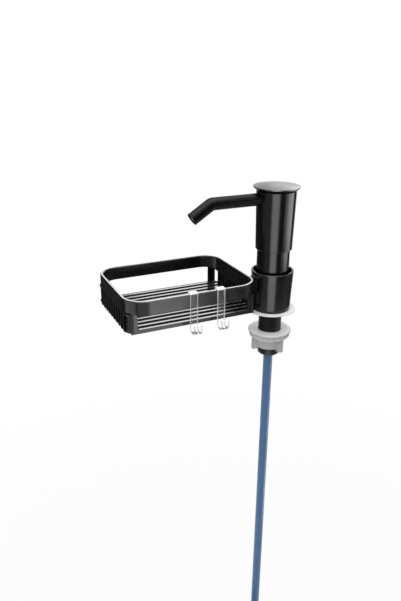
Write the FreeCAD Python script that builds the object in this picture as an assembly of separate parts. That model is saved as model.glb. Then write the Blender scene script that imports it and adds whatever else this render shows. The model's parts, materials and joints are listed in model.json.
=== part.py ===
"""Deck-mounted soap pump with a swivelling sponge basket, two hooks and a long draw hose.

Millimetres, +Z up. The origin is on the shank's axis at the deck's upper surface.
The basket lies towards -X and +Y, and the spout points along -X.
"""
import FreeCAD, Part
import math
import os

V = FreeCAD.Vector

# General clearances and overruns
overrun = 2.0
seat_gap = 0.05
running_gap = 0.06
loose_gap = 0.5

# Deck seal and threaded shank
gasket_r = 27.0
gasket_t = 1.0
gasket_edge = 0.4
shank_r = 12.6
shank_lead_step = 0.3
shank_plain_step = 0.2
shank_flange_t = 2.5
shank_flange_gap = 0.4
shank_plain_end = 0.4
thread_length = 43.6

# Deck thickness that the nut is set for, the washer and the wing nut
deck_grip = 24.5
thread_clear = 0.35
washer_r = 23.8
washer_t = 2.9
washer_edge = 0.8
nut_flange_r = 19.8
nut_flange_t = 3.4
nut_body_r = 15.2
nut_body_h = 13.9
wing_reach = 19.6
wing_t = 4.6
wing_drop = 3.6
wing_turn_deg = -73.0
wing_count = 3
notch_count = 20
notch_w = 2.0
notch_h = 1.3
notch_depth = 1.2

# Collar that carries the basket
collar_foot_gap = 0.55
collar_flare = 2.05
collar_top_z = 45.2
collar_wall = 1.9
collar_floor_t = 2.5
collar_lip = 0.5
shank_pass_gap = 0.6
saddle_w = 16.0
saddle_t = 0.87
saddle_margin = 1.0
saddle_root = 1.2

# Neck that stands in the collar
neck_r = 17.6
neck_wall = 2.3
neck_foot_step = 0.8
neck_floor_t = 3.5
neck_top_z = 86.0

# Pump cartridge
cylinder_bore_r = 7.8
cylinder_wall = 1.8
cylinder_lift = 10.0
cylinder_floor_t = 3.0
cylinder_side_gap = 0.6
cylinder_flange_inset = 0.2
cylinder_flange_t = 2.0
inlet_r = 2.2
nipple_wall = 1.4
nipple_gap = 0.1
guide_ring_inset = 0.7
guide_ring_t = 5.0
ball_over_seat = 0.8
ball_gap = 0.08
ball_side_gap = 0.5
ball_room = 2.0
cage_stop_t = 2.0
stem_bore_r = 1.9
stem_wall = 1.25
stem_socket_h = 8.0
piston_gap = 0.4
piston_h = 8.0
seal_depth = 1.2
seal_h = 2.0
outlet_ball_over_seat = 0.5
outlet_ball_side_gap = 0.35
spring_side_gap = 1.4
spring_length = 53.0
spring_wire_r = 0.6
spring_turns = 8
spring_end_gap = 0.1

# Head, with its flared lens cap
head_foot_z = 69.2
head_h = 62.0
head_slide_gap = 0.65
head_wall = 1.35
head_flare = 1.4
head_foot_chamfer = 0.4
head_socket_depth = 19.2
head_ledge = 0.35
block_gap = 0.1
chamber_r = 3.4
chamber_h = 7.0
cap_root_inset = 0.4
cap_flare = 3.7
cap_flare_h = 3.9
cap_rim_t = 1.0
cap_crown_h = 2.9
cap_spigot_r = 5.0
cap_spigot_h = 4.0

# Spout
spout_r = 6.5
spout_wall = 1.6
spout_drop = 7.8
spout_inner_x = 9.0
spout_corner_x = 74.5
spout_tip_length = 25.1
spout_bend_deg = 32.7
spout_bend_r = 7.0
liner_bore_r = 1.8
liner_recess = 1.5

# Basket band
band_length = 147.1
band_front_y = -16.4
band_depth = 114.6
band_corner_r = 23.0
band_t = 3.5
band_h = 14.4
band_rim_z = 38.2
band_edge = 0.8

# Slat tray under the band
tray_end_inset = 0.5
tray_side_inset = 7.0
tray_corner_r = 7.0
tray_wall = 2.0
tray_lift = 2.56
slat_t = 2.2
slat_count = 12
slat_pitch = 8.55
slat_gap = 3.4
corner_slot_w = 7.2
post_w = 11.0
ledge_t = 1.5
tongue_t = 1.45
tongue_drop = 2.8
tongue_margin = 1.0
foot_edge = 0.5

# Screws
screw_r = 1.5
screw_head_r = 2.6
screw_head_t = 1.3
screw_hole_gap = 0.1
tray_screw_bite = 2.0
tray_screw_spread = 44.0
saddle_screw_spread = 7.0
saddle_screw_length = 6.2

# Clear hooks on the front rim
hook_w = 8.0
hook_t = 2.0
hook_rim_gap = 0.3
hook_inner_drop = 9.0
hook_drop = 40.55
hook_mouth = 8.6
hook_tip_h = 10.0
hook_top_bend_r = 1.6
hook_foot_bend_r = 4.6
hook_from_end = 48.0
hook_spacing = 30.5

# Draw hose, its coil, tie and foot valve
hose_r = 5.35
coupling_r = 12.25
coupling_h = 10.6
coupling_plug_h = 6.0
coupling_plug_gap = 0.1
coupling_edge = 1.6
hose_seat_drop = 1.6
hose_drop_z = -503.0
coil_r = 57.0
coil_pitch = 13.0
coil_turns = 2
tie_h = 8.0
tie_t = 1.4
tie_gap = 0.4
valve_r = 6.2
valve_length = 26.0
valve_waist_r = 4.4
valve_waist_h = 3.0
valve_edge = 1.2

# Radii that follow from the sizes above
shank_plain_r = shank_r - shank_plain_step
shank_lead_r = shank_r - shank_lead_step
neck_foot_r = neck_r + neck_foot_step
shank_flange_r = neck_r - neck_wall - shank_flange_gap
collar_foot_r = neck_foot_r + collar_foot_gap + collar_wall
collar_top_r = collar_foot_r + collar_flare
cylinder_r = cylinder_bore_r + cylinder_wall
shank_bore_r = cylinder_r + cylinder_side_gap
guide_ring_r = neck_r - guide_ring_inset
cylinder_flange_r = guide_ring_r - cylinder_flange_inset
nipple_r = inlet_r + nipple_wall
ball_r = inlet_r + ball_over_seat
cage_bore_r = ball_r + ball_side_gap
outlet_ball_r = stem_bore_r + outlet_ball_over_seat
outlet_pocket_r = outlet_ball_r + outlet_ball_side_gap
stem_r = outlet_pocket_r + stem_wall
piston_r = cylinder_bore_r - piston_gap
seal_groove_r = piston_r - seal_depth
spring_mean_r = cylinder_bore_r - spring_side_gap - spring_wire_r
head_bore_r = neck_r + head_slide_gap
head_foot_r = head_bore_r + head_wall
head_top_r = head_foot_r + head_flare
head_socket_r = head_bore_r + head_ledge
cap_root_r = head_top_r - cap_root_inset
cap_r = cap_root_r + cap_flare
spout_bore_r = spout_r - spout_wall

# Heights and places that follow from the sizes above
collar_low_z = gasket_t


def collar_r(z):
    """Outside radius of the flared collar at a height."""
    share = (z - collar_low_z) / (collar_top_z - collar_low_z)
    return collar_foot_r + collar_flare * share


neck_low_z = collar_low_z + collar_floor_t
shank_flange_z = neck_low_z + neck_floor_t
shank_low_z = -shank_plain_end - thread_length
washer_top_z = -deck_grip
nut_top_z = washer_top_z - washer_t
nut_body_z = nut_top_z - nut_flange_t
nut_low_z = nut_body_z - nut_body_h
guide_low_z = neck_top_z + cylinder_flange_t
guide_top_z = guide_low_z + guide_ring_t
cylinder_low_z = shank_low_z + cylinder_lift
hose_seat_z = shank_low_z - hose_seat_drop
coupling_low_z = shank_low_z - coupling_h
nipple_low_z = hose_seat_z + nipple_gap
inlet_seat_z = cylinder_low_z + cylinder_floor_t
cage_h = 2 * ball_r + ball_room
cage_top_z = inlet_seat_z + cage_h + cage_stop_t
piston_z = cage_top_z + spring_length
head_top_z = head_foot_z + head_h
head_ledge_z = head_top_z - head_socket_depth
stem_top_z = head_ledge_z + stem_socket_h
outlet_seat_z = head_ledge_z
spout_axis_z = head_top_z - spout_drop
cap_rim_z = head_top_z + cap_flare_h
cap_crown_z = cap_rim_z + cap_crown_h
band_low_z = band_rim_z - band_h
band_y0 = band_front_y
corner_y = band_y0 + band_corner_r
corner_reach = collar_r(band_low_z + band_h / 2) + saddle_t + band_corner_r
corner_x = -math.sqrt(corner_reach ** 2 - corner_y ** 2)
band_x1 = corner_x + band_corner_r
band_x0 = band_x1 - band_length
band_y1 = band_front_y + band_depth
tray_x0 = band_x0 + tray_end_inset
tray_x1 = band_x1 - tray_end_inset
tray_y0 = band_y0 + tray_side_inset
tray_y1 = band_y1 - tray_side_inset
basket_mid_y = (band_y0 + band_y1) / 2
tray_low_z = gasket_t + tray_lift
floor_top_z = tray_low_z + slat_t
hook_right_x = band_x1 - hook_from_end
hook_left_x = hook_right_x - hook_spacing
hook_low_z = band_rim_z - hook_drop
hose_d = 2 * hose_r
coil_z = hose_drop_z - hose_d


def turned(profile):
    """Solid of revolution about Z from (radius, height) corners."""
    corners = [V(r, 0, z) for r, z in profile]
    outline = Part.makePolygon(corners + corners[:1])
    return Part.Face(outline).revolve(V(0, 0, 0), V(0, 0, 1), 360)


def rod(r, low, high, x=0, y=0):
    return Part.makeCylinder(r, high - low, V(x, y, low))


def ring(r_out, r_in, low, high):
    return rod(r_out, low, high).cut(rod(r_in, low - overrun, high + overrun))


def block(x0, x1, y0, y1, z0, z1):
    return Part.makeBox(x1 - x0, y1 - y0, z1 - z0, V(x0, y0, z0))


def rounded_plate(x0, x1, y0, y1, r, z0, z1):
    """Upright slab with a rounded rectangle as its plan."""
    corners = (
        (x1 - r, y0 + r, 270), (x1 - r, y1 - r, 0), (x0 + r, y1 - r, 90), (x0 + r, y0 + r, 180))
    arcs = [Part.makeCircle(r, V(x, y, z0), V(0, 0, 1), a, a + 90) for x, y, a in corners]
    edges = []
    for arc, following in zip(arcs, arcs[1:] + arcs[:1]):
        edges.append(arc)
        edges.append(Part.makeLine(arc.Vertexes[1].Point, following.Vertexes[0].Point))
    return Part.Face(Part.Wire(edges)).extrude(V(0, 0, z1 - z0))


def arc_from(start, along, end):
    """Circular edge that leaves start along a direction and reaches end."""
    chord = end - start
    unit = V(chord).normalize()
    side = along - unit * along.dot(unit)
    if side.Length < 1e-9:
        return Part.makeLine(start, end)
    half = math.tan(along.getAngle(chord) / 2) * chord.Length / 2
    return Part.Arc(start, start + chord / 2 + side.normalize() * half, end).toShape()


def biarc(start, along, end, leave):
    """Two tangent arcs between two points with given unit directions."""
    span = end - start
    both = along + leave
    spread = 2 * (1 - along.dot(leave))
    reach = span.dot(both)
    if spread < 1e-9:
        step = span.dot(span) / (2 * reach)
    else:
        step = (math.sqrt(reach * reach + spread * span.dot(span)) - reach) / spread
    middle = (start + end + (along - leave) * step) / 2
    through = (end - leave * step - start - along * step).normalize()
    return [arc_from(start, along, middle), arc_from(middle, through, end)]


def rounded_path(points, radius):
    """Straight runs through points, joined by tangent arcs of one radius."""
    edges = []
    here = points[0]
    for before, corner, after in zip(points, points[1:], points[2:]):
        arrive = (corner - before).normalize()
        leave = (after - corner).normalize()
        cut = radius * math.tan(arrive.getAngle(leave) / 2)
        edges.append(Part.makeLine(here, corner - arrive * cut))
        here = corner + leave * cut
        edges.append(arc_from(corner - arrive * cut, arrive, here))
    edges.append(Part.makeLine(here, points[-1]))
    return edges


def swept(edges, section):
    solid = Part.Wire(edges).makePipeShell([section], True, False)
    return solid if solid.ShapeType == "Solid" else Part.Solid(solid)


def round_pipe(edges, r):
    first = edges[0]
    start = first.valueAt(first.FirstParameter)
    along = first.tangentAt(first.FirstParameter)
    return swept(edges, Part.Wire(Part.makeCircle(r, start, along)))


def drilled(shape, holes):
    for hole in holes:
        shape = shape.cut(hole)
    return shape


def fused(shapes):
    whole = shapes[0]
    for shape in shapes[1:]:
        whole = whole.fuse(shape)
    return whole.removeSplitter()


# Deck seal, collar and neck stack
def make_gasket():
    plate = ring(gasket_r, shank_r + shank_pass_gap, 0, gasket_t)
    rims = [e for e in plate.Edges
            if e.BoundBox.XMax > gasket_r - gasket_edge and e.BoundBox.ZMin > gasket_t / 2]
    return plate.makeFillet(gasket_edge, rims)


saddle_way = V(corner_x, corner_y, 0) / corner_reach
saddle_deg = math.degrees(math.atan2(corner_y, corner_x))
saddle_mid_z = band_low_z + band_h / 2


def saddle_screw_heights():
    return [saddle_mid_z - saddle_screw_spread / 2, saddle_mid_z + saddle_screw_spread / 2]


def screw_along(head_seat, way, length):
    """Screw whose head sits at head_seat and whose shaft runs along way."""
    shaft = Part.makeCylinder(screw_r, length, head_seat, way)
    head = Part.makeCylinder(screw_head_r, screw_head_t, head_seat, way * -1)
    return shaft.fuse(head)


def hole_along(head_seat, way, length):
    return Part.makeCylinder(screw_r + screw_hole_gap, length + overrun, head_seat - way * overrun, way)


def saddle_seat(z):
    inner_r = band_corner_r - band_t
    seat = corner_reach - math.sqrt(inner_r ** 2 - screw_head_r ** 2) + seat_gap
    return saddle_way * seat + V(0, 0, z)


def make_collar():
    lip = collar_lip
    cup = turned([
        (shank_r + shank_pass_gap, collar_low_z), (collar_foot_r, collar_low_z),
        (collar_top_r, collar_top_z - lip), (collar_top_r - lip, collar_top_z),
        (collar_top_r - collar_wall, collar_top_z), (collar_foot_r - collar_wall, neck_low_z),
        (shank_r + shank_pass_gap, neck_low_z)])
    low, high = band_low_z + saddle_margin, band_rim_z - saddle_margin
    near = collar_r(low) - saddle_root
    saddle = block(near, corner_reach, -saddle_w / 2, saddle_w / 2, low, high)
    saddle.rotate(V(0, 0, 0), V(0, 0, 1), saddle_deg)
    saddle = saddle.cut(rod(band_corner_r + seat_gap, low - overrun, high + overrun, corner_x, corner_y))
    holes = [hole_along(saddle_seat(z), saddle_way * -1, saddle_screw_length + overrun)
             for z in saddle_screw_heights()]
    keep_clear = block(band_x0, band_x1, band_y0 + band_corner_r, band_y1, low - overrun, high + overrun)
    return drilled(fused([cup, saddle.cut(keep_clear)]), holes)


def make_neck_sleeve():
    inner = neck_r - neck_wall
    hole = shank_r + running_gap
    return turned([
        (hole, neck_low_z), (neck_foot_r, neck_low_z), (neck_foot_r, shank_flange_z),
        (neck_r, shank_flange_z), (neck_r, neck_top_z), (inner, neck_top_z), (inner, shank_flange_z),
        (hole, shank_flange_z)])


def make_threaded_shank():
    top = shank_flange_z + shank_flange_t
    lead_z = washer_top_z + shank_plain_end
    return turned([
        (shank_bore_r, shank_low_z), (shank_lead_r, shank_low_z), (shank_lead_r, lead_z), (shank_r, lead_z),
        (shank_r, -shank_plain_end), (shank_plain_r, -shank_plain_end), (shank_plain_r, shank_flange_z),
        (shank_flange_r, shank_flange_z), (shank_flange_r, top), (shank_bore_r, top)])


# Clamp under the deck
def make_nut_washer():
    return turned([
        (shank_r + thread_clear, nut_top_z), (washer_r - washer_edge, nut_top_z),
        (washer_r, nut_top_z + washer_edge), (washer_r, washer_top_z - washer_edge),
        (washer_r - washer_edge, washer_top_z),
        (shank_r + thread_clear, washer_top_z)])


def spread_round(shape, count, start_deg):
    """Copies of a shape at even turns about Z."""
    copies = [shape.copy() for _ in range(count)]
    for k, copy in enumerate(copies):
        copy.rotate(V(0, 0, 0), V(0, 0, 1), start_deg + 360 * k / count)
    return copies


def make_wing_nut():
    body = turned([
        (0, nut_low_z), (nut_body_r, nut_low_z), (nut_body_r, nut_body_z),
        (nut_flange_r - washer_edge, nut_body_z), (nut_flange_r, nut_body_z + washer_edge),
        (nut_flange_r, nut_top_z), (0, nut_top_z)])
    wing = block(0, wing_reach, -wing_t / 2, wing_t / 2, nut_low_z - wing_drop, nut_body_z)
    notch = block(nut_flange_r - notch_depth, nut_flange_r + overrun, -notch_w / 2, notch_w / 2,
                  nut_top_z - notch_h, nut_top_z + overrun)
    bore = rod(shank_r + thread_clear, nut_low_z - wing_drop - overrun, nut_top_z + overrun)
    solid = fused([body] + spread_round(wing, wing_count, wing_turn_deg))
    return drilled(solid, [bore] + spread_round(notch, notch_count, wing_turn_deg))


# Pump cartridge
def make_pump_cylinder():
    return turned([
        (inlet_r, nipple_low_z), (nipple_r, nipple_low_z), (nipple_r, cylinder_low_z),
        (cylinder_r, cylinder_low_z),
        (cylinder_r, neck_top_z), (cylinder_flange_r, neck_top_z), (cylinder_flange_r, guide_low_z),
        (cylinder_bore_r, guide_low_z), (cylinder_bore_r, inlet_seat_z), (inlet_r, inlet_seat_z)])


def make_guide_ring():
    return ring(guide_ring_r, stem_r + running_gap, guide_low_z, guide_top_z)


def ball_on_seat(r, seat_r, seat_z):
    rise = math.sqrt(r ** 2 - seat_r ** 2) + ball_gap
    return Part.makeSphere(r, V(0, 0, seat_z + rise))


def make_inlet_cage():
    stop_z = inlet_seat_z + cage_h
    outer = cylinder_bore_r - seat_gap
    return turned([
        (cage_bore_r, inlet_seat_z), (outer, inlet_seat_z), (outer, cage_top_z), (inlet_r, cage_top_z),
        (inlet_r, stop_z), (cage_bore_r, stop_z)])


def make_stem():
    return turned([
        (stem_bore_r, piston_z), (stem_r, piston_z), (stem_r, stem_top_z), (outlet_pocket_r, stem_top_z),
        (outlet_pocket_r, outlet_seat_z), (stem_bore_r, outlet_seat_z)])


def seal_low_z():
    return piston_z + (piston_h - seal_h) / 2


def make_piston():
    low = seal_low_z()
    return turned([
        (stem_r + seat_gap, piston_z), (piston_r, piston_z), (piston_r, low), (seal_groove_r, low),
        (seal_groove_r, low + seal_h), (piston_r, low + seal_h), (piston_r, piston_z + piston_h),
        (stem_r + seat_gap, piston_z + piston_h)])


def make_piston_seal():
    low = seal_low_z()
    high = low + seal_h
    return ring(cylinder_bore_r - running_gap, seal_groove_r + seat_gap, low + seat_gap, high - seat_gap)


def helix_edges(spot, heading, turns):
    """Quarter-turn biarcs along a winding given by its place and heading at an angle."""
    quarter = math.pi / 2
    edges = []
    for k in range(4 * turns):
        a, b = k * quarter, (k + 1) * quarter
        edges += biarc(spot(a), heading(a), spot(b), heading(b))
    return edges


def make_return_spring():
    low = cage_top_z + spring_wire_r + spring_end_gap
    climb = (piston_z - spring_wire_r - spring_end_gap - low) / (2 * math.pi * spring_turns)

    def spot(a):
        return V(spring_mean_r * math.cos(a), spring_mean_r * math.sin(a), low + climb * a)

    def heading(a):
        return V(-spring_mean_r * math.sin(a), spring_mean_r * math.cos(a), climb).normalize()

    return round_pipe(helix_edges(spot, heading, spring_turns), spring_wire_r)


# Head
def spout_path(start_x, tip_cut):
    bend = math.radians(spout_bend_deg)
    tip = V(-math.cos(bend), 0, -math.sin(bend)) * (spout_tip_length - tip_cut)
    corner = V(-spout_corner_x, 0, spout_axis_z)
    return rounded_path([V(-start_x, 0, spout_axis_z), corner, corner + tip], spout_bend_r)


def spout_hole(r, inner_x, outer_x):
    return Part.makeCylinder(r, outer_x - inner_x, V(-inner_x, 0, spout_axis_z), V(-1, 0, 0))


def make_head_body():
    shell = turned([
        (head_bore_r, head_foot_z), (head_foot_r - head_foot_chamfer, head_foot_z),
        (head_foot_r, head_foot_z + head_foot_chamfer), (head_top_r, head_top_z),
        (head_socket_r, head_top_z), (head_socket_r, head_ledge_z), (head_bore_r, head_ledge_z)])
    return shell.cut(spout_hole(spout_r + seat_gap, head_bore_r / 2, head_top_r + overrun))


def make_outlet_block():
    outer = head_socket_r - block_gap
    chamber_top = stem_top_z + chamber_h
    holes = [
        rod(stem_r + running_gap, head_ledge_z - overrun, stem_top_z + loose_gap),
        rod(chamber_r, head_ledge_z, chamber_top),
        spout_hole(spout_r + seat_gap, spout_inner_x, head_top_r),
        spout_hole(liner_bore_r, 0, spout_inner_x + overrun),
        rod(cap_spigot_r + seat_gap, head_top_z - cap_spigot_h - loose_gap, head_top_z + overrun)]
    low = head_ledge_z + seat_gap
    return drilled(rod(outer, low, head_top_z), holes)


def make_head_cap():
    """Flared lens: conical underside, thin rim and a shallow domed crown."""
    low = head_top_z
    rim_low = cap_rim_z - cap_rim_t / 2
    rim_high = cap_rim_z + cap_rim_t / 2
    corners = [V(0, 0, low - cap_spigot_h), V(cap_spigot_r, 0, low - cap_spigot_h), V(cap_spigot_r, 0, low),
               V(cap_root_r, 0, low), V(cap_r, 0, rim_low), V(cap_r, 0, rim_high)]
    edges = [Part.makeLine(a, b) for a, b in zip(corners, corners[1:])]
    crown = V(0, 0, cap_crown_z)
    edges.append(arc_from(crown, V(1, 0, 0), corners[-1]))
    edges.append(Part.makeLine(crown, corners[0]))
    outline = Part.Wire(Part.__sortEdges__(edges))
    return Part.Face(outline).revolve(V(0, 0, 0), V(0, 0, 1), 360)


def make_spout():
    start = spout_inner_x + seat_gap
    return round_pipe(spout_path(start, 0), spout_r).cut(
        round_pipe(spout_path(start - overrun, -overrun), spout_bore_r))


def make_spout_liner():
    start = spout_inner_x + seat_gap
    outer = round_pipe(spout_path(start, liner_recess), spout_bore_r - seat_gap)
    return outer.cut(round_pipe(spout_path(start - overrun, -overrun), liner_bore_r))


# Basket
def tray_screw_seats():
    """Head seats and directions of the screws through the tray's tongues into the band."""
    z = (band_low_z + band_rim_z) / 2
    inner = band_t + seat_gap + tongue_t
    seats = []
    for x, way in ((band_x0 + inner, V(-1, 0, 0)), (band_x1 - inner, V(1, 0, 0))):
        for side in (-1, 1):
            seats.append((V(x, basket_mid_y + side * tray_screw_spread / 2, z), way))
    return seats


def make_basket_band():
    outer = rounded_plate(band_x0, band_x1, band_y0, band_y1, band_corner_r, band_low_z, band_rim_z)
    inner = rounded_plate(band_x0 + band_t, band_x1 - band_t, band_y0 + band_t, band_y1 - band_t,
                          band_corner_r - band_t, band_low_z - overrun, band_rim_z + overrun)
    band = outer.cut(inner)
    rims = [e for e in band.Edges if e.BoundBox.ZMin > band_rim_z - band_edge]
    band = band.makeChamfer(band_edge, rims)
    bite = tongue_t + seat_gap + tray_screw_bite
    holes = [hole_along(seat, way, bite + overrun / 2) for seat, way in tray_screw_seats()]
    for z in saddle_screw_heights():
        holes.append(hole_along(saddle_seat(z), saddle_way * -1, saddle_screw_length))
    return drilled(band, holes)


def tray_gap_places():
    count = slat_count - 1
    return [basket_mid_y + (k - (count - 1) / 2) * slat_pitch for k in range(count)]


def make_slat_tray():
    """Floor slats that turn up at both ends as ribs, with corner posts and tongues inside the band."""
    shell = rounded_plate(tray_x0, tray_x1, tray_y0, tray_y1, tray_corner_r, tray_low_z, band_low_z)
    feet = [e for e in shell.Edges if e.BoundBox.ZMax < tray_low_z + foot_edge]
    shell = shell.makeChamfer(foot_edge, feet)
    shell = shell.cut(rounded_plate(
        tray_x0 + tray_wall, tray_x1 - tray_wall, tray_y0 + tray_wall, tray_y1 - tray_wall,
        tray_corner_r - tray_wall, floor_top_z, band_low_z + overrun))
    window_x = (tray_x0 + post_w, tray_x1 - post_w)
    cuts = [block(*window_x, tray_y0 - overrun, tray_y1 + overrun, floor_top_z, band_low_z + overrun)]
    slot_top = band_low_z - ledge_t
    places = tray_gap_places()
    for y in places:
        cuts.append(block(tray_x0 - overrun, tray_x1 + overrun, y - slat_gap / 2, y + slat_gap / 2,
                          tray_low_z - overrun, slot_top))
    widen = corner_slot_w - slat_gap / 2
    for near, far in ((places[0] - widen, places[0]), (places[-1], places[-1] + widen)):
        for x in (tray_x0, tray_x1):
            deep = tray_wall + overrun
            cuts.append(block(x - deep, x + deep, near, far, floor_top_z, slot_top))
    tray = drilled(shell, cuts)
    lip_y = (tray_y0 + tray_corner_r, tray_y1 - tray_corner_r)
    tongue_y = (band_y0 + band_corner_r + tongue_margin, band_y1 - band_corner_r - tongue_margin)
    reach = band_t - tray_end_inset + seat_gap
    adds = []
    for x, inward in ((tray_x0, 1), (tray_x1, -1)):
        root, face = x + inward * reach, x + inward * (reach + tongue_t)
        adds.append(block(min(x, face), max(x, face), *lip_y, slot_top, band_low_z))
        adds.append(block(min(root, face), max(root, face), *tongue_y, slot_top, band_rim_z - tongue_drop))
    holes = [hole_along(seat, way, tongue_t + seat_gap) for seat, way in tray_screw_seats()]
    return drilled(fused([tray] + adds), holes)


def make_tray_screws():
    length = tongue_t + seat_gap + tray_screw_bite
    return Part.makeCompound([screw_along(seat, way, length) for seat, way in tray_screw_seats()])


def make_collar_screws():
    return Part.makeCompound([screw_along(saddle_seat(z), saddle_way * -1, saddle_screw_length)
                              for z in saddle_screw_heights()])


def make_hook(x):
    """Flat strip over the band's front rim, down its face and forward into a J."""
    half = hook_t / 2
    inside = band_y0 + band_t + hook_rim_gap + half
    outside = band_y0 - hook_rim_gap - half
    top = band_rim_z + hook_rim_gap / 2 + half
    foot = hook_low_z + half
    tip = outside - half - hook_mouth - half
    points = [(inside, top - hook_inner_drop), (inside, top), (outside, top), (outside, foot), (tip, foot),
              (tip, foot + hook_tip_h)]
    spots = [V(x, y, z) for y, z in points]
    upper = rounded_path(spots[:3] + [(spots[2] + spots[3]) / 2], hook_top_bend_r)
    lower = rounded_path([(spots[2] + spots[3]) / 2] + spots[3:], hook_foot_bend_r)
    start = spots[0]
    section = Part.makePolygon([
        start + V(-hook_w / 2, -half, 0), start + V(hook_w / 2, -half, 0), start + V(hook_w / 2, half, 0),
        start + V(-hook_w / 2, half, 0), start + V(-hook_w / 2, -half, 0)])
    return swept(upper + lower, section)


# Draw hose
def make_hose_coupling():
    plug_r = shank_bore_r - coupling_plug_gap
    bore = hose_r + seat_gap
    roof = hose_seat_z + loose_gap
    return turned([
        (bore, coupling_low_z), (coupling_r - coupling_edge, coupling_low_z),
        (coupling_r, coupling_low_z + coupling_edge), (coupling_r, shank_low_z), (plug_r, shank_low_z),
        (plug_r, shank_low_z + coupling_plug_h), (nipple_r + seat_gap, shank_low_z + coupling_plug_h),
        (nipple_r + seat_gap, roof), (bore, roof)])


def make_hose_drop():
    return rod(hose_r, hose_drop_z, hose_seat_z)


def coil_spot(a):
    return V(coil_r * math.cos(a) - coil_r, -coil_pitch * a / (2 * math.pi), coil_z - coil_r * math.sin(a))


def coil_heading(a):
    """Along the winding, but plumb where it starts and ends."""
    if a in (0, 2 * math.pi * coil_turns):
        return V(0, 0, -1)
    return V(-coil_r * math.sin(a), -coil_pitch / (2 * math.pi), -coil_r * math.cos(a)).normalize()


def make_hose_coil():
    turns = helix_edges(coil_spot, coil_heading, coil_turns)
    last = coil_spot(2 * math.pi * coil_turns)
    lead_in = Part.makeLine(V(0, 0, hose_drop_z), coil_spot(0))
    lead_out = Part.makeLine(last, last - V(0, 0, hose_d))
    path = Part.Wire([lead_in] + turns + [lead_out])
    coil = round_pipe([lead_in] + turns + [lead_out], hose_r)
    report_hose(path, coil, turns)
    return coil


def report_hose(path, coil, turns):
    """Print the hose's length, bend radii, volume share and least gap to itself."""
    whole = path.Length + hose_seat_z - hose_drop_z
    radii = [e.Curve.Radius for e in turns]
    section = math.pi * hose_r ** 2
    print("hose length", round(whole, 1), "coil radii", round(min(radii), 1), "to", round(max(radii), 1))
    print("coil volume over section times length", round(coil.Volume / (section * path.Length), 5))
    spots = path.discretize(Number=240)
    step = path.Length / (len(spots) - 1)
    apart = int(math.pi * coil_r / step)
    gaps = [spots[i].distanceToPoint(spots[j]) - hose_d
            for i in range(len(spots)) for j in range(i + apart, len(spots))]
    drop_gaps = [math.hypot(s.x, s.y) - hose_d for s in spots if s.z > hose_drop_z and s.y < -hose_r]
    print("least gap of the coil to itself", round(min(gaps), 2), "and to the drop", round(min(drop_gaps), 2))


def make_coil_tie():
    """Strap round the drop and the strands that lie beside it."""
    bulge = coil_r - math.sqrt(coil_r ** 2 - (tie_h / 2) ** 2)
    slack = hose_r + bulge + tie_gap
    far = -coil_pitch * coil_turns - slack
    low, high = coil_z - tie_h / 2, coil_z + tie_h / 2
    inner = rounded_plate(-slack, slack, far, slack, slack - bulge / 2, low - overrun, high + overrun)
    outer = rounded_plate(-slack - tie_t, slack + tie_t, far - tie_t, slack + tie_t,
                          slack + tie_t - bulge / 2, low, high)
    return outer.cut(inner)


def make_foot_valve():
    top = coil_z - hose_d
    low = top - valve_length
    valve = turned([
        (0, low), (valve_r - valve_edge, low), (valve_r, low + valve_edge),
        (valve_r, top - 2 * valve_waist_h),
        (valve_waist_r, top - 2 * valve_waist_h), (valve_waist_r, top - valve_waist_h),
        (hose_r, top - valve_waist_h), (hose_r, top), (0, top)])
    valve.translate(V(0, -coil_pitch * coil_turns, 0))
    return valve


nodes = {
    "gasket": make_gasket(),
    "collar": make_collar(),
    "neck_sleeve": make_neck_sleeve(),
    "threaded_shank": make_threaded_shank(),
    "nut_washer": make_nut_washer(),
    "wing_nut": make_wing_nut(),
    "pump_cylinder": make_pump_cylinder(),
    "guide_ring": make_guide_ring(),
    "inlet_cage": make_inlet_cage(),
    "inlet_ball": ball_on_seat(ball_r, inlet_r, inlet_seat_z),
    "return_spring": make_return_spring(),
    "stem": make_stem(),
    "piston": make_piston(),
    "piston_seal": make_piston_seal(),
    "outlet_ball": ball_on_seat(outlet_ball_r, stem_bore_r, outlet_seat_z),
    "head_body": make_head_body(),
    "outlet_block": make_outlet_block(),
    "head_cap": make_head_cap(),
    "spout": make_spout(),
    "spout_liner": make_spout_liner(),
    "basket_band": make_basket_band(),
    "slat_tray": make_slat_tray(),
    "tray_screws": make_tray_screws(),
    "collar_screws": make_collar_screws(),
    "hook_left": make_hook(hook_left_x),
    "hook_right": make_hook(hook_right_x),
    "hose_coupling": make_hose_coupling(),
    "hose_drop": make_hose_drop(),
    "hose_coil": make_hose_coil(),
    "coil_tie": make_coil_tie(),
    "foot_valve": make_foot_valve(),
}

os.makedirs("parts", exist_ok=True)
for name, shape in nodes.items():
    shape.exportStep(f"parts/{name}.step")
    print(name, "solids", len(shape.Solids), "valid", shape.isValid(), "volume", round(shape.Volume, 1))
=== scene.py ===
"""Looks of the deck-mounted soap pump with its sponge basket, on a plain pale floor.

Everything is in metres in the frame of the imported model: +Z up, the origin on the shank's axis at the deck.
"""
import json
import math
from collections import namedtuple

import bmesh
import bpy
from mathutils import Matrix, Vector


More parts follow.
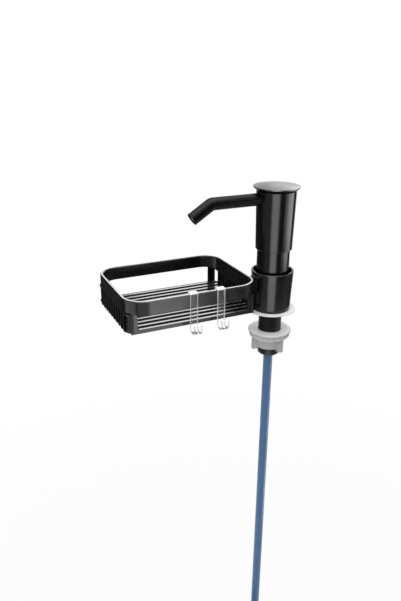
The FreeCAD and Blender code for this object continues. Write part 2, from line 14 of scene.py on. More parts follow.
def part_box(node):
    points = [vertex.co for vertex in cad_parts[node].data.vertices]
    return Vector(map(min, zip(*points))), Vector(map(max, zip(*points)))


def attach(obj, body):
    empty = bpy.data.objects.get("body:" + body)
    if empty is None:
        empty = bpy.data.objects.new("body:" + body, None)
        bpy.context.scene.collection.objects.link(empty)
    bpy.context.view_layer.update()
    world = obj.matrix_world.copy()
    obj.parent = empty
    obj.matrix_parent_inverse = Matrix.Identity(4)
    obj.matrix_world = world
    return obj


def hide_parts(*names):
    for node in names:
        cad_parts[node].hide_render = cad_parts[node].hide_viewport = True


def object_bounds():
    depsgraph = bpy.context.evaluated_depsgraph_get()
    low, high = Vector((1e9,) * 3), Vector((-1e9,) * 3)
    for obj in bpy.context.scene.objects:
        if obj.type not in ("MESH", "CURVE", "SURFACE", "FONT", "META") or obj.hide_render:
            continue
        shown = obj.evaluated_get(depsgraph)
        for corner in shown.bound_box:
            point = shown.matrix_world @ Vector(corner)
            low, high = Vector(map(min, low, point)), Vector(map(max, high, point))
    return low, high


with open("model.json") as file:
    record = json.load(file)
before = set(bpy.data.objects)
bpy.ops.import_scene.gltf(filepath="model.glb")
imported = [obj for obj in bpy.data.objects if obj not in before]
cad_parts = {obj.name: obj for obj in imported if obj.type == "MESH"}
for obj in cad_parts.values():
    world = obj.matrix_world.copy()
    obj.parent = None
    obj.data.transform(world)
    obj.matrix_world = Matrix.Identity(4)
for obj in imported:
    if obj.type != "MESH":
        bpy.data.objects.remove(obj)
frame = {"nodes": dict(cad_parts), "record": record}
cad_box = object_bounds()

MM = 0.001
FULL_TURN = 2 * math.pi
nodes_by_name = frame["nodes"]
slot_of = {part["node"]: part["material_slot"] for part in frame["record"]["subparts"]}

# Camera, fitted to the photograph
IMAGE_HEIGHT_PX = 601
FOCAL_PX = 592.81
CAMERA_EYE = Vector((-0.3270, -0.5177, 0.2557))
CAMERA_HEADING_DEG = 24.98
CAMERA_PITCH_DEG = 22.18
CAMERA_ROLL_DEG = 0.28
CAMERA_CLIP = 0.01

# Hose route, as in the part's source
HOSE_R = 5.35 * MM
HOSE_START_Z = -45.6 * MM
HOSE_DROP_Z = -503.0 * MM
HOSE_STRAIGHT_EXIT = 12 * HOSE_R
HOSE_LEAD = 2 * HOSE_R
HOSE_STEPS = 8
COIL_R = 57.0 * MM
COIL_PITCH = 13.0 * MM
COIL_TURNS = 2
COIL_POINTS_PER_TURN = 16

# Shank and its thread
DECK_Z = 0.0
SHANK_R = 12.6 * MM
SHANK_PLAIN_R = 12.4 * MM
SHANK_BORE_R = 10.2 * MM
SHANK_FLANGE_T = 2.5 * MM
THREAD_PITCH = 2.5 * MM
THREAD_DEPTH = 0.75 * MM
THREAD_SIDES = 72
THREAD_ROWS_PER_PITCH = 8
CREST_SHARE = 0.2
FLANK_SHARE = 0.55

# Rim of the nut's flange
NUT_RIM_R = 22.5 * MM
NUT_RIM_BORE_R = 18.5 * MM
NUT_RIM_GAP = 0.35 * MM
NUT_RIM_H = 4.5 * MM
NUT_RIM_EDGE = 0.9 * MM
NOTCH_COUNT = 20
NOTCH_DEPTH = 0.7 * MM
NOTCH_H = 2.3 * MM
SIDES_PER_NOTCH = 10
NOTCH_SIDES = 3

# Slats of the tray
SLAT_T = 2.2 * MM
SLAT_PITCH = 8.55 * MM
SLAT_GAP = 3.4 * MM
RIB_COUNT = 10

# Lower edges of the tray: rails along the front and back slats, and feet under the ribs at the ends
EDGE_INSET = 0.1 * MM
EDGE_DROP = 1.4 * MM
EDGE_LAP = 0.6 * MM
EDGE_BEVEL = 0.25 * MM
EDGE_BEVEL_STEPS = 3
RAIL_T = 1.6 * MM
RAIL_FROM_END = 4.0 * MM
FOOT_T = 1.9 * MM

# Metal lens on the cap, from its top down to the rim
CAP_LENS_H = 3.6 * MM
CAP_LENS_BLUR = 0.05 * MM

# Painted highlight along the top of the band's rim
RIM_H = 1.4 * MM
RIM_FULL_H = 0.9 * RIM_H

# Painted highlight strip along each slat, with the dark edge left on both sides of it
STRIP_EDGE = 1.15 * MM
STRIP_EDGE_BLUR = 0.3 * MM
STRIP_END_BLUR = 1.0 * MM
STRIP_FROM_LEFT = 12.5 * MM
STRIP_FROM_RIGHT = 3.0 * MM
STRIP_ABOVE_SLAT = 1.0 * MM
FRONT_FACE_FROM = 0.5 * MM
FRONT_FACE_TO = 2.0 * MM

# Clear hooks: heights above the foot of its painted shade, and of its top painted as a highlight
FOOT_SHADE_FROM = 0.8 * MM
FOOT_SHADE_TO = 1.2 * MM
HOOK_TOP_FROM = 6.0 * MM
HOOK_TOP_TO = 8.0 * MM

# Shade in the corners of the grey mouldings
CORNER_REACH = 1.5 * MM
NUT_CORNER_REACH = 10.0 * MM

# Colours and gloss that several finishes share
BLACK = (0.0025, 0.0025, 0.0027)
# Bright metal colour of the painted highlights on the band's rim and on the slats
PAINTED_HIGHLIGHT_METAL = (0.74, 0.74, 0.75)
PLAIN_SPECULAR = 0.5
DULL_SPECULAR = 0.08
EVEN_SCATTER = (1.0, 1.0, 1.0)
SCATTER_SCALE = 2.0 * MM

# Stage
FLOOR_DROP = 0.02
FLOOR_R = 1.10
FLOOR_GREY = (0.9, 0.9, 0.9, 1.0)
FLOOR_FADE_FROM = 0.60
FLOOR_FADE_TO = 1.05
FLOOR_GLOW_NEAR = 0.85
FLOOR_GLOW_FAR = 1.0
WORLD_FILL = 0.5
WORLD_SHOWN = 1.0
CURTAIN_R = 1.15
CURTAIN_TOP = 0.55
CURTAIN_TURNS_DEG = (-165.0, 145.0)
CURTAIN_GLOW = 0.055
STAGE_SIDES = 96

# Lamps: the turn is to the right of the camera's side, and the distance is from the shank's axis
Lamp = namedtuple("Lamp", "turn_deg distance z aim width height radiance")
LAMPS = {
    "front_strip": Lamp(turn_deg=-6.0, distance=1.00, z=-0.19, aim=(0.0, 0.0, -0.19),
                        width=0.76, height=0.78, radiance=3.0),
    "corner_glow": Lamp(turn_deg=0.0, distance=0.99, z=-0.19, aim=(0.0, 0.0, -0.19),
                        width=0.98, height=0.78, radiance=0.9),
    "right_strip": Lamp(turn_deg=88.0, distance=1.00, z=-0.04, aim=(0.0, 0.0, -0.04),
                        width=0.73, height=0.48, radiance=3.9),
    "right_fade": Lamp(turn_deg=59.0, distance=1.05, z=-0.04, aim=(0.0, 0.0, -0.04),
                       width=0.36, height=0.48, radiance=1.4),
    "left_strip": Lamp(turn_deg=-58.0, distance=1.00, z=-0.10, aim=(0.0, 0.0, -0.10),
                       width=1.00, height=0.70, radiance=0.28),
    "corner_side": Lamp(turn_deg=-62.0, distance=1.00, z=-0.20, aim=(0.0, 0.0, -0.20),
                        width=1.00, height=0.70, radiance=1.1),
    "hose_line": Lamp(turn_deg=88.0, distance=0.40, z=-0.38, aim=(0.0, 0.0, -0.20),
                      width=0.30, height=0.44, radiance=1.3),
    "band_card": Lamp(turn_deg=34.774, distance=0.8524, z=-0.338, aim=(-0.10, -0.02, 0.03),
                      width=0.23, height=0.30, radiance=3.8),
    "cap_card": Lamp(turn_deg=150.0, distance=1.50, z=0.85, aim=(0.0, 0.0, 0.10),
                     width=0.80, height=0.80, radiance=2.4),
    "top_box": Lamp(turn_deg=-1.585, distance=0.2236, z=1.50, aim=(-0.05, 0.0, 0.0),
                    width=1.60, height=1.60, radiance=3.2),
    "fill_box": Lamp(turn_deg=-35.0, distance=1.05, z=0.50, aim=(0.0, 0.0, 0.0),
                     width=0.60, height=0.60, radiance=1.0),
    "left_fill": Lamp(turn_deg=-85.0, distance=1.05, z=0.35, aim=(0.0, 0.0, 0.0),
                      width=0.80, height=0.80, radiance=1.3),
    "low_fill": Lamp(turn_deg=-22.0, distance=1.00, z=0.40, aim=(0.0, 0.0, 0.0),
                     width=0.50, height=0.50, radiance=2.0),
    "washer_fill": Lamp(turn_deg=-150.0, distance=0.50, z=0.80, aim=(0.0, 0.0, -0.03),
                        width=0.50, height=0.50, radiance=8.0),
    "back_box": Lamp(turn_deg=160.0, distance=1.60, z=0.85, aim=(0.0, 0.0, 0.10),
                     width=0.90, height=0.70, radiance=0.8),
}


def add_object(name, data):
    obj = bpy.data.objects.new(name, data)
    bpy.context.scene.collection.objects.link(obj)
    return obj


def make_camera():
    heading = math.radians(CAMERA_HEADING_DEG)
    pitch = math.radians(CAMERA_PITCH_DEG)
    roll = math.radians(CAMERA_ROLL_DEG)
    ahead = Vector((math.sin(heading), math.cos(heading), 0.0))
    forward = ahead * math.cos(pitch) - Vector((0.0, 0.0, math.sin(pitch)))
    level = Vector((math.cos(heading), -math.sin(heading), 0.0))
    upright = level.cross(forward)
    right = level * math.cos(roll) + upright * math.sin(roll)
    up = upright * math.cos(roll) - level * math.sin(roll)
    data = bpy.data.cameras.new("camera")
    data.sensor_fit = "VERTICAL"
    data.lens = FOCAL_PX / IMAGE_HEIGHT_PX * data.sensor_height
    data.clip_start = CAMERA_CLIP
    camera = add_object("camera", data)
    turn = Matrix((right, up, -forward)).transposed().to_4x4()
    camera.matrix_world = Matrix.Translation(CAMERA_EYE) @ turn
    bpy.context.scene.camera = camera


# Materials
class Finish:
    """A principled material with shared object coordinates and a few helpers."""

    def __init__(self, name):
        self.material = bpy.data.materials.new(name)
        self.material.use_nodes = True
        self.nodes = self.material.node_tree.nodes
        self.links = self.material.node_tree.links
        self.shader = self.nodes["Principled BSDF"]
        self.coordinates = self.add("ShaderNodeTexCoord")
        self.place = self.coordinates.outputs["Object"]

    def add(self, kind, **inputs):
        node = self.nodes.new(kind)
        for key, value in inputs.items():
            node.inputs[key.replace("_", " ")].default_value = value
        return node

    def set(self, **inputs):
        for key, value in inputs.items():
            self.shader.inputs[key.replace("_", " ")].default_value = value

    def link(self, output, socket):
        self.links.new(output, self.shader.inputs[socket])

    def noise(self, scale, detail=3.0, stretch=None):
        """Cloudy noise round 0.5, drawn out along the axes whose stretch is small."""
        source = self.place
        if stretch is not None:
            mapping = self.add("ShaderNodeMapping", Scale=stretch)
            self.links.new(source, mapping.inputs["Vector"])
            source = mapping.outputs["Vector"]
        node = self.add("ShaderNodeTexNoise", Scale=scale, Detail=detail)
        self.links.new(source, node.inputs["Vector"])
        return node.outputs["Fac"]

    def spread(self, value, low, high, start=0.3, end=0.7):
        """From low at the start to high at the end, where the defaults suit a noise."""
        node = self.add("ShaderNodeMapRange", From_Min=start, From_Max=end, To_Min=low, To_Max=high)
        self.links.new(value, node.inputs["Value"])
        return node.outputs["Result"]

    def rise(self, value, start, end):
        return self.spread(value, 0.0, 1.0, start, end)

    def fall(self, value, start, end):
        return self.spread(value, 1.0, 0.0, start, end)

    def share(self, mask, low, high):
        """Low where a mask is 0, and high where it is 1."""
        return self.spread(mask, low, high, start=0.0, end=1.0)

    def blend(self, factor, first, second):
        node = self.nodes.new("ShaderNodeMix")
        node.data_type = "RGBA"
        self.links.new(factor, node.inputs[0])
        for socket, colour in ((node.inputs[6], first), (node.inputs[7], second)):
            if isinstance(colour, tuple):
                socket.default_value = (*colour, 1.0)
            else:
                self.links.new(colour, socket)
        return node.outputs[2]

    def maths(self, operation, *values):
        node = self.nodes.new("ShaderNodeMath")
        node.operation = operation
        for socket, value in zip(node.inputs, values):
            if isinstance(value, float):
                socket.default_value = value
            else:
                self.links.new(value, socket)
        return node.outputs["Value"]

    def both(self, first, second):
        return self.maths("MULTIPLY", first, second)

    def either(self, first, second):
        return self.maths("MAXIMUM", first, second)

    def size_of(self, value):
        return self.maths("ABSOLUTE", value)

    def parts(self, vector):
        node = self.nodes.new("ShaderNodeSeparateXYZ")
        self.links.new(vector, node.inputs["Vector"])
        return node.outputs["X"], node.outputs["Y"], node.outputs["Z"]

    def height(self):
        return self.parts(self.place)[2]

    def facing(self):
        """The face's own direction, turning with its body."""
        return self.parts(self.coordinates.outputs["Normal"])

    def relief(self, height, strength, distance, round_edges=0.0):
        """Fine relief, over edges that look rounded."""
        bump = self.add("ShaderNodeBump", Strength=strength, Distance=distance)
        self.links.new(height, bump.inputs["Height"])
        if round_edges:
            edge = self.add("ShaderNodeBevel", Radius=round_edges)
            edge.samples = 6
            self.links.new(edge.outputs["Normal"], bump.inputs["Normal"])
        self.link(bump.outputs["Normal"], "Normal")


def black_gloss(name, specular):
    """Smooth black lacquer on metal, with faint orange peel."""
    finish = Finish(name)
    cloud = finish.noise(60.0)
    finish.link(finish.blend(cloud, (0.0020, 0.0020, 0.0022), (0.0035, 0.0035, 0.0038)), "Base Color")
    finish.link(finish.spread(cloud, 0.18, 0.23), "Roughness")
    finish.relief(finish.noise(900.0), 0.03, 0.2 * MM, round_edges=0.35 * MM)
    finish.set(Specular_IOR_Level=specular)
    return finish.material


def black_cap():
    """Black lacquer under the rim and a satin metal lens on top."""
    finish = Finish("black_cap")
    rim_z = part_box("head_cap")[1].z - CAP_LENS_H
    lens = finish.rise(finish.height(), rim_z - CAP_LENS_BLUR, rim_z + CAP_LENS_BLUR)
    grain = finish.noise(700.0, stretch=(1.0, 0.06, 1.0))
    metal = finish.blend(grain, (0.120, 0.120, 0.125), (0.156, 0.156, 0.16))
    finish.link(finish.blend(lens, (0.003, 0.003, 0.0033), metal), "Base Color")
    finish.link(lens, "Metallic")
    finish.link(finish.share(lens, 0.03, PLAIN_SPECULAR), "Specular IOR Level")
    finish.link(finish.spread(grain, 0.24, 0.32), "Roughness")
    finish.relief(grain, 0.03, 0.1 * MM, round_edges=0.3 * MM)
    return finish.material


def black_band():
    """Satin black metal, with a highlight painted in bright metal along the top of its rim."""
    finish = Finish("black_band")
    rim_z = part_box("basket_band")[1].z
    # The rim's upward faces are painted bright metal as its highlight
    upper = finish.rise(finish.facing()[2], 0.75, 0.85)
    at_rim = finish.rise(finish.height(), rim_z - RIM_H, rim_z - RIM_FULL_H)
    painted_rim_highlight = finish.both(upper, at_rim)
    cloud = finish.noise(80.0)
    body = finish.blend(cloud, BLACK, (0.0045, 0.0045, 0.0048))
    finish.link(finish.blend(painted_rim_highlight, body, PAINTED_HIGHLIGHT_METAL), "Base Color")
    finish.link(finish.share(painted_rim_highlight, 0.0, 0.25), "Metallic")
    finish.link(finish.spread(cloud, 0.19, 0.25), "Roughness")
    finish.relief(finish.noise(1200.0), 0.04, 0.15 * MM)
    return finish.material


def black_tray():
    """Black slats, each with a painted highlight strip along its upper face."""
    finish = Finish("black_tray")
    low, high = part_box("slat_tray")
    x, y, z = finish.parts(finish.place)
    endways, _, upwards = finish.facing()

    # A bright metal strip is painted as a highlight on each slat's upper face
    upper = finish.rise(upwards, 0.6, 0.8)
    above = low.z + SLAT_T + STRIP_ABOVE_SLAT
    on_floor = finish.fall(z, above, above + STRIP_ABOVE_SLAT)
    from_middle = finish.maths("SUBTRACT", y, (low.y + high.y) / 2)
    from_gap = finish.maths("PINGPONG", from_middle, SLAT_PITCH / 2)
    edge = SLAT_GAP / 2 + STRIP_EDGE
    strip = finish.rise(from_gap, edge, edge + STRIP_EDGE_BLUR)
    left, right = low.x + STRIP_FROM_LEFT, high.x - STRIP_FROM_RIGHT
    inside = finish.both(finish.rise(x, left, left + STRIP_END_BLUR),
                         finish.fall(x, right - STRIP_END_BLUR, right))
    painted_slat_highlight = finish.both(finish.both(upper, on_floor), finish.both(strip, inside))

    grain = finish.noise(500.0, stretch=(0.05, 1.0, 1.0))
    bright = finish.blend(grain, PAINTED_HIGHLIGHT_METAL, (0.82, 0.82, 0.83))
    finish.link(finish.blend(painted_slat_highlight, BLACK, bright), "Base Color")
    finish.link(painted_slat_highlight, "Metallic")
    front = finish.spread(y, PLAIN_SPECULAR, DULL_SPECULAR,
                          start=low.y + FRONT_FACE_FROM, end=low.y + FRONT_FACE_TO)
    ends = finish.spread(finish.size_of(endways), DULL_SPECULAR, PLAIN_SPECULAR, start=0.25, end=0.5)
    finish.link(finish.either(front, ends), "Specular IOR Level")
    finish.link(finish.spread(grain, 0.18, 0.25), "Roughness")
    finish.relief(grain, 0.015, 0.1 * MM, round_edges=0.25 * MM)
    return finish.material


def moulded(name, dark, light, roughness, grain=0.12, corner_reach=None):
    """Moulded plastic, slightly cloudy and finely grained, with shaded corners if their reach is given."""
    finish = Finish(name)
    cloud = finish.noise(45.0)
    colour = finish.blend(cloud, dark, light)
    if corner_reach is not None:
        openness = finish.add("ShaderNodeAmbientOcclusion", Distance=corner_reach).outputs["AO"]
        colour = finish.blend(finish.rise(openness, 0.25, 0.75), (0.38, 0.375, 0.37), colour)
    finish.link(colour, "Base Color")
    finish.link(finish.spread(cloud, roughness - 0.04, roughness + 0.05), "Roughness")
    finish.relief(finish.noise(1500.0), grain, 0.12 * MM, round_edges=0.3 * MM)
    return finish


def black_plastic():
    finish = moulded("black_plastic", (0.003, 0.003, 0.0033), (0.006, 0.006, 0.0065), 0.3)
    finish.set(Specular_IOR_Level=0.35)
    return finish.material


def grey_plastic(name, dark, light, corner_reach):
    return moulded(name, dark, light, 0.5, corner_reach=corner_reach).material


def natural_plastic():
    finish = moulded("pump_plastic", (0.78, 0.78, 0.75), (0.86, 0.86, 0.84), 0.35)
    finish.set(Subsurface_Weight=0.2, Subsurface_Scale=SCATTER_SCALE, Subsurface_Radius=EVEN_SCATTER)
    return finish.material


def seal_white():
    finish = moulded("seal_white", (0.74, 0.74, 0.74), (0.84, 0.84, 0.84), 0.45, grain=0.05)
    finish.set(Subsurface_Weight=0.3, Subsurface_Scale=SCATTER_SCALE, Subsurface_Radius=EVEN_SCATTER)
    return finish.material


def clear_acrylic():
    """Clear acrylic strip: see-through faces, frosted sawn edges, a top painted white as a highlight, and
    painted shade at the foot.
    """
    finish = Finish("clear_acrylic")
    sideways, _, upwards = finish.facing()
    height = finish.height()
    foot_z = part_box("hook_left")[0].z
    mottle = finish.noise(260.0)

    sawn = finish.rise(finish.size_of(sideways), 0.6, 0.8)
    # Upper faces over the rim are painted opaque white as a highlight
    painted_top_highlight = finish.both(finish.rise(upwards, 0.6, 0.8),
                           finish.rise(height, foot_z + HOOK_TOP_FROM, foot_z + HOOK_TOP_TO))
    # Near-black blotches just above the foot are painted shade
    foot = finish.both(finish.fall(height, foot_z + FOOT_SHADE_FROM, foot_z + FOOT_SHADE_TO),
                       finish.rise(mottle, 0.40, 0.48))
    solid = finish.either(finish.either(sawn, painted_top_highlight), foot)

    frost_and_top_highlight = finish.blend(mottle, (0.94, 0.95, 0.95), (0.99, 0.99, 0.99))
    finish.link(finish.blend(foot, frost_and_top_highlight, (0.01, 0.01, 0.011)), "Base Color")
    finish.link(finish.share(solid, 0.05, 0.95), "Alpha")
    finish.link(finish.spread(mottle, 0.06, 0.14), "Roughness")
    finish.relief(mottle, 0.02, 0.1 * MM)
    finish.set(IOR=1.49)
    return finish.material


def steel(name, dark, light):
    """Drawn metal with a fine grain along its length."""
    finish = Finish(name)
    grain = finish.noise(900.0, stretch=(1.0, 1.0, 0.1))
    finish.link(finish.blend(grain, dark, light), "Base Color")
    finish.link(finish.spread(grain, 0.22, 0.34), "Roughness")
    finish.relief(grain, 0.05, 0.1 * MM, round_edges=0.2 * MM)
    finish.set(Metallic=1.0)
    return finish.material


def blue_hose():
    """Translucent blue tubing with soft streaks along its run."""
    finish = Finish("blue_hose")
    streak = finish.noise(260.0, stretch=(1.0, 1.0, 0.04))
    finish.link(finish.blend(streak, (0.045, 0.155, 0.36), (0.105, 0.275, 0.55)), "Base Color")
    finish.link(finish.spread(streak, 0.10, 0.18), "Roughness")
    finish.relief(streak, 0.04, 0.2 * MM)
    finish.set(Transmission_Weight=0.3, IOR=1.42, Coat_Weight=0.15, Coat_Roughness=0.08)
    return finish.material


def make_materials():
    """One finish for each slot, and the finishes of the nodes that differ from their slot's."""
    made = {
        "black_gloss": black_gloss("black_gloss", PLAIN_SPECULAR),
        "black_cap": black_cap(),
        "black_band": black_band(),
        "black_tray": black_tray(),
        "black_plastic": black_plastic(),
        "grey_plastic": grey_plastic("grey_plastic", (0.76, 0.755, 0.75), (0.84, 0.835, 0.83), CORNER_REACH),
        "seal_white": seal_white(),
        "seal_rubber": moulded("seal_rubber", (0.02, 0.02, 0.02), (0.035, 0.035, 0.035), 0.6).material,
        "clear_acrylic": clear_acrylic(),
        "pump_plastic": natural_plastic(),
        "steel": steel("steel", (0.50, 0.50, 0.51), (0.62, 0.62, 0.63)),
        "blue_hose": blue_hose(),
        "tie_plastic": moulded("tie_plastic", (0.72, 0.72, 0.70), (0.82, 0.82, 0.80), 0.4).material,
    }
    blackened = steel("blackened_steel", (0.012, 0.012, 0.013), (0.025, 0.025, 0.027))
    own_finish = {
        "spout": black_gloss("black_spout", 0.15),
        # The nut and the washer get darker copies of the grey plastic as painted shade: the nut for the
        # shadow under its rim, the washer against its own lamp
        "wing_nut": grey_plastic("nut_grey_shaded", (0.62, 0.615, 0.61), (0.69, 0.685, 0.68), NUT_CORNER_REACH),
        "nut_washer": grey_plastic("washer_grey_shaded", (0.58, 0.575, 0.57), (0.65, 0.645, 0.64), CORNER_REACH),
        "tray_screws": blackened,
        "collar_screws": blackened,
    }
    for name, node in nodes_by_name.items():
        node.data.materials.clear()
        node.data.materials.append(own_finish.get(name, made[slot_of[name]]))
    return made


# Hose
def hose_points():
    """Straight drop, then the coil's turns with points on the polygon round their circle."""
    coil_z = HOSE_DROP_Z - HOSE_LEAD
    near_exit = HOSE_START_Z - HOSE_STRAIGHT_EXIT
    points = [Vector((0, 0, z)) for z in (HOSE_START_Z, near_exit, HOSE_DROP_Z, coil_z)]
    step = FULL_TURN / COIL_POINTS_PER_TURN
    reach = COIL_R / math.cos(step / 2)
    for k in range(COIL_POINTS_PER_TURN * COIL_TURNS):
        turn = (k + 0.5) * step
        points.append(Vector((reach * math.cos(turn) - COIL_R, -COIL_PITCH * turn / FULL_TURN,
                              coil_z - reach * math.sin(turn))))
    end = Vector((0, -COIL_PITCH * COIL_TURNS, coil_z))
    return points + [end, end - Vector((0, 0, HOSE_LEAD))]


def make_hose(material):
    curve = bpy.data.curves.new("draw_hose", "CURVE")
    curve.dimensions = "3D"
    curve.bevel_depth = HOSE_R
    curve.bevel_resolution = HOSE_STEPS
    curve.use_fill_caps = True
    spline = curve.splines.new("NURBS")
    points = hose_points()
    spline.points.add(len(points) - 1)
    for target, point in zip(spline.points, points):
        target.co = (*point, 1.0)
    spline.order_u = 3
    spline.use_endpoint_u = True
    spline.resolution_u = HOSE_STEPS
    curve.materials.append(material)
    hose = add_object("draw_hose", curve)
    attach(hose, "base")
    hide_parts("hose_drop", "hose_coil")
    return hose


# Meshes
def mesh_piece(name, mesh, material):
    data = bpy.data.meshes.new(name)
    mesh.to_mesh(data)
    mesh.free()
    data.materials.append(material)
    return add_object(name, data)


def ring(radii, z):
    """Points round the axis at one height, each at its own radius."""
    turns = [FULL_TURN * side / len(radii) for side in range(len(radii))]
    return [(radius * math.cos(turn), radius * math.sin(turn), z) for radius, turn in zip(radii, turns)]


def round_piece(name, rings, material):
    """Piece whose rings of points follow one another and close on the first."""
    mesh = bmesh.new()
    loops = [[mesh.verts.new(point) for point in points] for points in rings]
    for loop, following in zip(loops, loops[1:] + loops[:1]):
        for k in range(len(loop)):
            after = (k + 1) % len(loop)
            mesh.faces.new((loop[k], loop[after], following[after], following[k]))
    bmesh.ops.recalc_face_normals(mesh, faces=mesh.faces)
    return mesh_piece(name, mesh, material)


def block_piece(name, size, middles, material):
    """Piece made of bevelled blocks of one size."""
    mesh = bmesh.new()
    for middle in middles:
        block = bmesh.ops.create_cube(mesh, size=1.0)["verts"]
        bmesh.ops.scale(mesh, vec=size, verts=block)
        bmesh.ops.translate(mesh, vec=middle, verts=block)
    bmesh.ops.bevel(mesh, geom=mesh.edges[:], offset=EDGE_BEVEL, segments=EDGE_BEVEL_STEPS, affect="EDGES")
    return mesh_piece(name, mesh, material)


# Shank
def thread_radius(turn_share):
    """Radius at a share of the pitch, for a thread with flat crests and roots."""
    rise = abs(turn_share - 0.5) * 2
    return SHANK_R - THREAD_DEPTH * min(1.0, max(0.0, (rise - CREST_SHARE) / FLANK_SHARE))


def make_shank(material):
    """The shank with its thread, standing for the plain solid."""
    low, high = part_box("threaded_shank")
    rows = int((DECK_Z - low.z) / THREAD_PITCH * THREAD_ROWS_PER_PITCH)
    rings = []
    for row in range(rows + 1):
        z = low.z + (DECK_Z - low.z) * row / rows
        shares = [(z / THREAD_PITCH - side / THREAD_SIDES) % 1.0 for side in range(THREAD_SIDES)]
        rings.append(ring([thread_radius(share) for share in shares], z))
    flange_low = high.z - SHANK_FLANGE_T
    outline = ((SHANK_PLAIN_R, DECK_Z), (SHANK_PLAIN_R, flange_low), (high.x, flange_low), (high.x, high.z),
               (SHANK_BORE_R, high.z), (SHANK_BORE_R, low.z))
    rings += [ring([radius] * THREAD_SIDES, z) for radius, z in outline]
    shank = round_piece("shank_thread", rings, material)
    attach(shank, "base")
    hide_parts("threaded_shank")


# Nut
def make_nut_rim(material):
    """Rim of the nut's flange, with notches along its upper edge under the washer."""
    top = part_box("wing_nut")[1].z - NUT_RIM_GAP
    bottom = top - NUT_RIM_H
    notch = [NUT_RIM_R - NOTCH_DEPTH] * NOTCH_SIDES
    tooth = [NUT_RIM_R] * (SIDES_PER_NOTCH - NOTCH_SIDES)
    notched = (notch + tooth) * NOTCH_COUNT
    rings = [ring(notched, top), ring(notched, top - NOTCH_H)]
    outline = ((NUT_RIM_R, top - NOTCH_H), (NUT_RIM_R, bottom + NUT_RIM_EDGE),
               (NUT_RIM_R - NUT_RIM_EDGE, bottom), (NUT_RIM_BORE_R, bottom), (NUT_RIM_BORE_R, top))
    rings += [ring([radius] * len(notched), z) for radius, z in outline]
    rim = round_piece("nut_rim", rings, material)
    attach(rim, "nut")


# Tray
def make_tray_edges(material):
    """Deeper lower edges along the front and back slats, and feet where the slats turn up at the ends."""
    low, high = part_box("slat_tray")
    middle_x, middle_y = (low.x + high.x) / 2, (low.y + high.y) / 2
    height = EDGE_DROP + EDGE_LAP
    z = low.z + (EDGE_LAP - EDGE_DROP) / 2
    rail_size = Vector((high.x - low.x - 2 * RAIL_FROM_END, RAIL_T, height))
    rail_in = EDGE_INSET + RAIL_T / 2
    foot_size = Vector((FOOT_T, SLAT_PITCH - SLAT_GAP, height))
    foot_in = EDGE_INSET + FOOT_T / 2
    rib_ys = [middle_y + (rib - (RIB_COUNT - 1) / 2) * SLAT_PITCH for rib in range(RIB_COUNT)]
    left_feet = [Vector((low.x + foot_in, y, z)) for y in rib_ys]
    right_feet = [Vector((high.x - foot_in, y, z)) for y in rib_ys]
    edges = [
        block_piece("front_rail", rail_size, [Vector((middle_x, low.y + rail_in, z))], material),
        block_piece("back_rail", rail_size, [Vector((middle_x, high.y - rail_in, z))], material),
        block_piece("left_rib_feet", foot_size, left_feet, material),
        block_piece("right_rib_feet", foot_size, right_feet, material),
    ]
    for piece in edges:
        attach(piece, "basket")
    return edges


# Lamps
def beside_camera(turn_deg, distance, z):
    """Place at a distance from the shank, turned to the right of the camera's side."""
    turn = math.radians(turn_deg - CAMERA_HEADING_DEG)
    return Vector((math.sin(turn) * distance, -math.cos(turn) * distance, z))


def group_of(name, pieces):
    group = bpy.data.collections.new(name)
    for piece in pieces:
        group.objects.link(piece)
    return group


def softbox(name, only_on=None):
    """Area lamp of a stated brightness, facing its aim, which may be kept to some of the pieces."""
    plan = LAMPS[name]
    data = bpy.data.lights.new(name, "AREA")
    data.shape = "RECTANGLE"
    data.size = plan.width
    data.size_y = plan.height
    data.energy = math.pi * plan.width * plan.height * plan.radiance
    lamp = add_object(name, data)
    place = beside_camera(plan.turn_deg, plan.distance, plan.z)
    facing = (Vector(plan.aim) - place).to_track_quat("-Z", "Y")
    lamp.matrix_world = Matrix.Translation(place) @ facing.to_matrix().to_4x4()
    if only_on is not None:
        lamp.light_linking.receiver_collection = group_of(name + "_receivers", only_on)
    return lamp


def reflector(name, only_on=None):
    """Softbox that only shows as a reflection."""
    softbox(name, only_on).visible_diffuse = False


def fill(name, only_on=None):
    """Softbox that doesn't show as a reflection."""
    lamp = softbox(name, only_on)
    lamp.visible_glossy = False
    return lamp


def make_lights(tray_edges, hose):
    basket = [nodes_by_name["basket_band"], nodes_by_name["slat_tray"]] + tray_edges
    others = [node for node in nodes_by_name.values() if node not in basket]
    washer = [nodes_by_name["nut_washer"]]

    # Lines of light on the round black pieces, the band's front and corner, the hose and the cap
    reflector("front_strip", only_on=others)
    reflector("corner_glow", only_on=basket)
    reflector("right_strip")
    reflector("right_fade")
    reflector("left_strip")
    reflector("corner_side", only_on=basket)
    reflector("hose_line", only_on=[hose])
    reflector("band_card", only_on=basket)
    reflector("cap_card", only_on=[nodes_by_name["head_cap"]])

    # Soft light from above and all round, and on the washer also where the basket would shade it
    softbox("top_box")
    softbox("fill_box")
    fill("left_fill")
    fill("low_fill")
    washer_fill = fill("washer_fill", only_on=washer)
    washer_fill.light_linking.blocker_collection = group_of("washer_fill_blockers", washer)
    softbox("back_box")


# Stage
def background_rays(tree):
    """1 for the rays that show the background: the camera's own, and those that metal and glass send on."""
    path = tree.nodes.new("ShaderNodeLightPath")
    shown = path.outputs["Is Camera Ray"]
    for ray in ("Is Glossy Ray", "Is Transmission Ray"):
        either = tree.nodes.new("ShaderNodeMath")
        either.operation = "MAXIMUM"
        tree.links.new(shown, either.inputs[0])
        tree.links.new(path.outputs[ray], either.inputs[1])
        shown = either.outputs["Value"]
    return shown


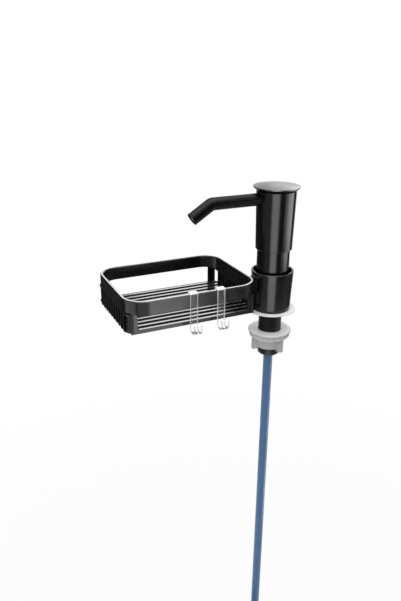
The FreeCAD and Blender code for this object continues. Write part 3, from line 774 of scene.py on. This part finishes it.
def make_world():
    world = bpy.data.worlds.new("studio")
    bpy.context.scene.world = world
    world.use_nodes = True
    tree = world.node_tree
    background = tree.nodes["Background"]
    background.inputs["Color"].default_value = (1.0, 1.0, 1.0, 1.0)
    level = tree.nodes.new("ShaderNodeMapRange")
    level.inputs["To Min"].default_value = WORLD_FILL
    level.inputs["To Max"].default_value = WORLD_SHOWN
    tree.links.new(background_rays(tree), level.inputs["Value"])
    tree.links.new(level.outputs["Result"], background.inputs["Strength"])


def floor_material():
    """Pale floor that shows as white, and near the object keeps a trace of its shadow."""
    material = bpy.data.materials.new("floor")
    material.use_nodes = True
    tree = material.node_tree
    shader = tree.nodes["Principled BSDF"]
    shader.inputs["Base Color"].default_value = FLOOR_GREY
    shader.inputs["Roughness"].default_value = 0.9
    glow = tree.nodes.new("ShaderNodeEmission")
    glow.inputs["Strength"].default_value = 1.0
    where = tree.nodes.new("ShaderNodeNewGeometry")
    reach = tree.nodes.new("ShaderNodeVectorMath")
    reach.operation = "LENGTH"
    tree.links.new(where.outputs["Position"], reach.inputs[0])
    fade = tree.nodes.new("ShaderNodeMapRange")
    fade.inputs["From Min"].default_value = FLOOR_FADE_FROM
    fade.inputs["From Max"].default_value = FLOOR_FADE_TO
    fade.inputs["To Min"].default_value = FLOOR_GLOW_NEAR
    fade.inputs["To Max"].default_value = FLOOR_GLOW_FAR
    tree.links.new(reach.outputs["Value"], fade.inputs["Value"])
    share = tree.nodes.new("ShaderNodeMath")
    share.operation = "MULTIPLY"
    tree.links.new(background_rays(tree), share.inputs[0])
    tree.links.new(fade.outputs["Result"], share.inputs[1])
    mix = tree.nodes.new("ShaderNodeMixShader")
    tree.links.new(share.outputs["Value"], mix.inputs["Fac"])
    tree.links.new(shader.outputs["BSDF"], mix.inputs[1])
    tree.links.new(glow.outputs["Emission"], mix.inputs[2])
    tree.links.new(mix.outputs["Shader"], tree.nodes["Material Output"].inputs["Surface"])
    return material


def make_floor():
    data = bpy.data.meshes.new("floor")
    corners = ring([FLOOR_R] * STAGE_SIDES, cad_box[0][2] - FLOOR_DROP)
    data.from_pydata(corners, [], [range(STAGE_SIDES)])
    data.materials.append(floor_material())
    add_object("floor", data)


def make_curtain():
    """Dim studio curtain round the camera, which only the object's reflections see."""
    material = bpy.data.materials.new("curtain")
    material.use_nodes = True
    tree = material.node_tree
    glow = tree.nodes.new("ShaderNodeEmission")
    glow.inputs["Strength"].default_value = CURTAIN_GLOW
    tree.links.new(glow.outputs["Emission"], tree.nodes["Material Output"].inputs["Surface"])
    low = cad_box[0][2] - FLOOR_DROP
    start, end = CURTAIN_TURNS_DEG
    turns = [start + (end - start) * k / STAGE_SIDES for k in range(STAGE_SIDES + 1)]
    corners = [beside_camera(turn, CURTAIN_R, z) for turn in turns for z in (low, CURTAIN_TOP)]
    faces = [(2 * k, 2 * k + 2, 2 * k + 3, 2 * k + 1) for k in range(STAGE_SIDES)]
    data = bpy.data.meshes.new("curtain")
    data.from_pydata(corners, [], faces)
    data.materials.append(material)
    curtain = add_object("curtain", data)
    curtain.visible_camera = False


bpy.context.scene.view_settings.view_transform = "Standard"
make_camera()
materials = make_materials()
draw_hose = make_hose(materials["blue_hose"])
make_shank(materials["black_plastic"])
make_nut_rim(materials["grey_plastic"])
lower_edges = make_tray_edges(materials["black_tray"])
make_world()
make_floor()
make_curtain()
make_lights(lower_edges, draw_hose)
